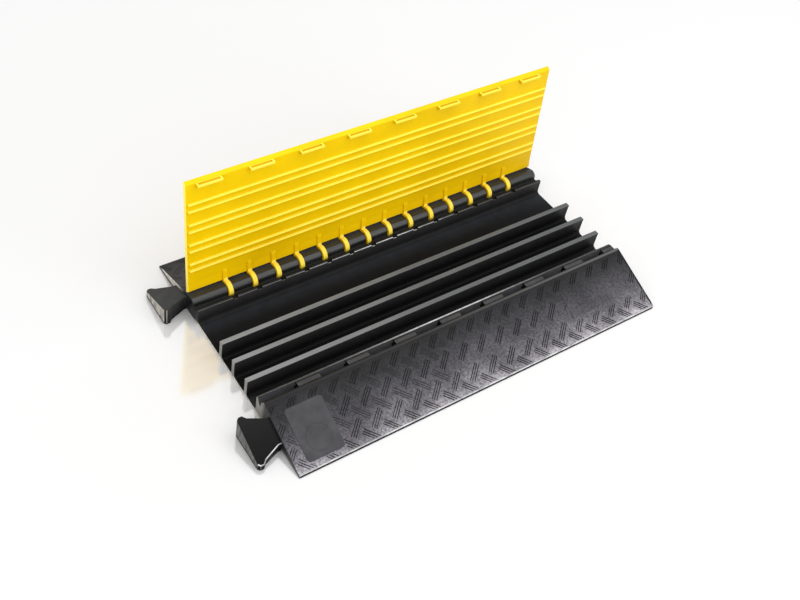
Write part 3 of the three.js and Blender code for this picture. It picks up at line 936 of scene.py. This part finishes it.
def rubber_family():
    """The base's finishes, in the order of the names above."""
    plain = Paint("base_rubber", grey(0.01), 0.45, 0.06)
    # Painted sheen and shade by depth: dark at the front and in the channels, lighter in the wide channel
    # toward the rear wall, and paler down the rear ramp toward its toe.
    depth = plain.axis("Y", FRONT_TOE, REAR_TOE)
    tone = plain.ramp(depth, [
        *greys((0.0, 0.006), (0.24, 0.006), (0.28, 0.013), (0.52, 0.011)),
        (0.56, (0.01, 0.011, 0.013)), (0.62, (0.02, 0.022, 0.026)), (0.67, (0.054, 0.058, 0.067)),
        *greys((0.685, 0.03), (0.70, 0.008), (0.725, 0.017), (0.78, 0.022), (1.0, 0.075)),
    ])
    # Painted shade by height: the lower a face, the darker.
    height = plain.ramp(plain.axis("Z", 0.0, 50.0), greys((0.1, 0.45), (0.2, 0.7), (0.5, 1.4), (0.85, 2.3)))
    tone = plain.blend("MULTIPLY", 1.0, tone, height)
    patch = plain.ramp(plain.noise(45, 4), greys((0.3, 0.6), (0.7, 1.0)))
    plain.colour(plain.blend("MULTIPLY", 0.5, tone, patch))
    plain.rough(plain.noise(30, 3), 0.36, 0.55)
    plain.bump(plain.noise(900, 3), 0.2, 0.4)

    ramp = Paint("base_rubber_ramp_sheen", grey(0.03), 0.4, 0.16)
    # Painted sheen: near black at the crest, paling down the front ramp to its toe.
    down = ramp.axis("Y", RAMP_TOP_Y, RAMP_FOOT_Y)
    tone = ramp.ramp(down, [
        (0.0, (0.004, 0.004, 0.005)), (0.25, (0.024, 0.023, 0.026)),
        (0.6, (0.074, 0.07, 0.08)), (0.88, (0.18, 0.171, 0.189)), (1.0, (0.34, 0.323, 0.35)),
    ])
    patch = ramp.ramp(ramp.noise(14, 5), greys((0.3, 0.5), (0.7, 1.25)))
    grain = ramp.ramp(ramp.noise(260, 4), greys((0.32, 0.5), (0.68, 1.4)))
    ramp.colour(ramp.blend("MULTIPLY", 1.0, ramp.blend("MULTIPLY", 1.0, tone, patch), grain))
    ramp.rough(ramp.noise(120, 4), 0.28, 0.5)
    ramp.bump(ramp.noise(420, 4), 0.35, 0.5)

    ridge = Paint("base_rubber_ridge_highlight", grey(0.2), 0.4, 0.3)
    # Painted highlight on the divider tops, palest at the left end.
    along = ridge.axis("X", BODY_LEFT, BODY_RIGHT)
    tone = ridge.ramp(along, [(0.0, grey(0.235, -0.035)), (0.5, grey(0.115, -0.06)), (1.0, grey(0.095, -0.06))])
    streaks = ridge.ramp(ridge.noise(60, 4, (0.2, 1, 1)), greys((0.35, 0.75), (0.7, 1.0)))
    ridge.colour(ridge.blend("MULTIPLY", 0.6, tone, streaks))
    ridge.bump(ridge.noise(700, 3), 0.15, 0.3)

    edge = Paint("base_rubber_edge_highlight", grey(0.4), 0.35, 0.5)
    # Painted highlight on the wall tops and the rim's lips, brightest over the middle of the length and dark
    # toward both ends; noise breaks it up.
    highlight_breakup = edge.ramp(edge.noise(90, 3), greys((0.3, 0.55), (0.65, 1.0)))
    fade = edge.ramp(edge.axis("X", BODY_LEFT, BODY_RIGHT), [
        (0.0, grey(0.05, -0.05)), (0.2, grey(0.09, -0.05)), (0.34, grey(0.3, -0.05)), (0.44, grey(0.6, -0.05)),
        (0.56, grey(0.6, -0.05)), (0.68, grey(0.2, -0.05)), (0.8, grey(0.05)), (1.0, grey(0.03)),
    ])
    edge.colour(edge.blend("MULTIPLY", 1.0, fade, highlight_breakup))
    edge.bump(edge.noise(700, 3), 0.1, 0.3)

    end = Paint("base_rubber_end_reflection", grey(0.3), 0.5, 0.3)
    # Painted reflection on the end faces: pale beige on the front wall's and dividers' ends and the floor
    # slab's end, brightest on the rear ramp's end, with painted shade near black on the rest.
    back = end.axis("Y", FRONT_TOE, REAR_TOE)
    streaks = end.ramp(end.noise(160, 5, (1, 1, 0.25)), greys((0.35, 0.55), (0.65, 1.0)))
    upper = end.ramp(back, [
        (0.0, grey(0.01)), (0.23, grey(0.02)), (0.245, (0.23, 0.222, 0.2)), (0.66, (0.23, 0.222, 0.2)),
        (0.675, grey(0.012)), (0.80, grey(0.015)), (0.86, (0.64, 0.6, 0.53)), (1.0, (0.74, 0.69, 0.61)),
    ])
    lower = end.ramp(back, [
        (0.0, grey(0.02)), (0.24, (0.5, 0.475, 0.42)), (0.7, (0.62, 0.59, 0.52)), (0.72, grey(0.02)),
        (1.0, grey(0.03)),
    ])
    high = end.axis("Z", 5.0, 7.0)
    end.colour(end.blend("MULTIPLY", 0.8, end.blend("MIX", high, lower, upper), streaks))
    end.bump(end.noise(500, 3), 0.2, 0.4)

    # Painted shade, near black, on hollows and shaded faces: hinge gaps, bore, rim notches, pockets, lug holes
    # and ends, the toe's face, the rounded front right corner, the tread's shaded flanks and the strip along
    # the ramp's right end.
    recess = Paint("base_rubber_recess_shade", grey(0.004), 0.6, 0.1)
    recess.bump(recess.noise(500, 3), 0.1, 0.3)

    shelf = Paint("base_rubber_shelf", grey(0.02), 0.5, 0.14)
    shelf.colour(shelf.ramp(shelf.noise(40, 4), [(0.3, (0.009, 0.009, 0.0095)), (0.7, (0.021, 0.021, 0.023))]))
    shelf.bump(shelf.noise(600, 3), 0.2, 0.4)

    tip = Paint("base_rubber_tip_reflection", grey(0.3), 0.7, 0.05)
    # Painted reflection on the heads' tips, paler on the rear head than the front, with painted shade near
    # black below 3.5 mm.
    back = tip.axis("Y", -150.0, 120.0)
    tone = tip.ramp(back, [(0.0, (0.17, 0.172, 0.165)), (1.0, (0.49, 0.46, 0.41))])
    streaks = tip.ramp(tip.noise(160, 5, (1, 1, 0.2)), greys((0.35, 0.35), (0.65, 1.0)))
    tone = tip.blend("MULTIPLY", 0.9, tone, streaks)
    tip.colour(tip.blend("MIX", tip.axis("Z", 3.5, 5.0), (0.01, 0.01, 0.01), tone))
    tip.bump(tip.noise(500, 3), 0.2, 0.4)

    crest = Paint("base_rubber_crest_highlight", grey(0.05), 0.4, 0.2)
    # Painted highlight along the crest, near black at the left end and paling toward the right.
    along = crest.axis("X", BODY_LEFT, BODY_RIGHT)
    crest.colour(crest.ramp(along, greys((0.0, 0.006), (0.4, 0.018), (0.7, 0.055), (1.0, 0.085))))
    crest.bump(crest.noise(600, 3), 0.2, 0.4)

    flat = Paint("base_rubber_plate", grey(0.05), 0.45, 0.2)
    flat.colour(flat.ramp(flat.noise(40, 4), [(0.3, (0.038, 0.037, 0.041)), (0.7, (0.06, 0.059, 0.065))]))
    flat.bump(flat.noise(600, 3), 0.2, 0.4)

    toe = Paint("base_rubber_toe_highlight", grey(0.5), 0.4, 0.4)
    # Painted highlight on the toe lip and on the front head's lower front edge, streaked along X.
    toe.colour(toe.ramp(toe.noise(50, 3, (1, 0.1, 0.1)), greys((0.35, 0.3), (0.6, 0.7))))
    toe.bump(toe.noise(600, 3), 0.1, 0.3)

    barrel = Paint("base_rubber_barrel", grey(0.012), 0.3, 0.5)
    patch = barrel.noise(26, 4, (0.5, 3, 3))
    barrel.colour(barrel.ramp(patch, [(0.3, (0.007, 0.008, 0.007)), (0.7, (0.02, 0.022, 0.02))]))
    barrel.rough(barrel.noise(40, 4, (0.4, 2, 2)), 0.2, 0.42)
    barrel.bump(barrel.noise(500, 3), 0.15, 0.3)
    return [p.mat for p in (plain, ramp, ridge, edge, end, recess, shelf, tip, crest, flat, toe, barrel)]


def plastic_family():
    """The lid's finishes: the sheet, its ribs and rims with a painted highlight, its ends with a painted
    highlight, and the slots in its tabs and the tabs' ends with painted shade.
    """
    made = []
    for name, dark, light in (
        ("lid_plastic", (0.8, 0.52, 0.0), (0.92, 0.62, 0.0)),
        ("lid_plastic_highlight", (0.98, 0.77, 0.06), (1.0, 0.83, 0.1)),
        ("lid_plastic_end_highlight", (0.95, 0.78, 0.08), (1.0, 0.84, 0.16)),
        ("lid_plastic_shade", (0.66, 0.4, 0.0), (0.75, 0.46, 0.0)),
    ):
        paint = Paint(name, light, 0.4, 0.12)
        tone = paint.ramp(paint.noise(9, 5), [(0.3, dark), (0.7, light)])
        # Painted shade: darker and more orange toward the bottom of the lid.
        rise = paint.ramp(paint.axis("Z", LID_FOOT_Z, LID_HEAD_Z), [
            (0.0, (0.9, 0.84, 0.9)), (0.45, (0.97, 0.94, 1.0)), (1.0, (1.0, 1.0, 1.0)),
        ])
        paint.colour(paint.blend("MULTIPLY", 1.0, tone, rise))
        paint.rough(paint.noise(50, 4), 0.36, 0.52)
        paint.bump(paint.noise(350, 4), 0.1, 0.3)
        made.append(paint.mat)
    return made


def rod_finish():
    rod = Paint("rod_fibre", (0.27, 0.25, 0.21), 0.45, 0.5)
    fibres = rod.noise(120, 4, (0.05, 1, 1))
    rod.colour(rod.ramp(fibres, [(0.3, (0.2, 0.185, 0.16)), (0.7, (0.36, 0.335, 0.29))]))
    rod.bump(rod.noise(400, 3, (0.05, 1, 1)), 0.2, 0.2)
    return rod.mat


base = make_base(rubber_family())
lid = make_lid(plastic_family())
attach(base, "base_body")
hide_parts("base")
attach(lid, "lid_body")
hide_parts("lid")
rod = bpy.data.objects["hinge_rod"]
rod.data.materials.clear()
rod.data.materials.append(rod_finish())

# ---- floor and light ----
FLOOR_HALF = 9000.0
FLOOR_DROP = 0.3
FLOOR_LEVEL, FLOOR_ROUGHNESS, FLOOR_GLOSS, FLOOR_IOR = 0.7, 0.1, 1.0, 2.1
SKY_STRENGTH = 1.0
EXPOSURE = 0.15
# Name, place, aim, width and height in metres, power in watts
LIGHTS = (
    ("key", (0.9, -0.8, 2.6), (0.0, 0.0, 0.0), 2.2, 2.2, 20.0),
    ("front", (1.5, -2.2, 1.5), (0.0, 0.1, 0.1), 1.4, 0.6, 9.0),
    ("side", (-2.4, -0.6, 0.9), (-0.3, 0.0, 0.1), 1.0, 1.0, 7.0),
)

square = [(a * FLOOR_HALF, b * FLOOR_HALF, -FLOOR_DROP) for a, b in ((-1, -1), (1, -1), (1, 1), (-1, 1))]
floor = new_object("floor", (square, [(0, 1, 2, 3)], [0]))
floor_paint = Paint("floor", grey(FLOOR_LEVEL), FLOOR_ROUGHNESS, FLOOR_GLOSS)
floor_paint.shader.inputs["IOR"].default_value = FLOOR_IOR
floor.data.materials.append(floor_paint.mat)

world = bpy.data.worlds.new("studio")
world.use_nodes = True
world.node_tree.nodes["Background"].inputs["Color"].default_value = (1, 1, 1, 1)
world.node_tree.nodes["Background"].inputs["Strength"].default_value = SKY_STRENGTH
bpy.context.scene.world = world


def softbox(name, place, aim, width, height, power):
    light = bpy.data.lights.new(name, "AREA")
    light.shape = "RECTANGLE"
    light.size, light.size_y = width, height
    light.energy = power
    obj = bpy.data.objects.new(name, light)
    bpy.context.scene.collection.objects.link(obj)
    obj.location = place
    obj.rotation_mode = "QUATERNION"
    obj.rotation_quaternion = (Vector(aim) - Vector(place)).to_track_quat("-Z", "Y")
    return obj


for light in LIGHTS:
    softbox(*light)

bpy.context.scene.view_settings.view_transform = "Standard"
bpy.context.scene.view_settings.exposure = EXPOSURE
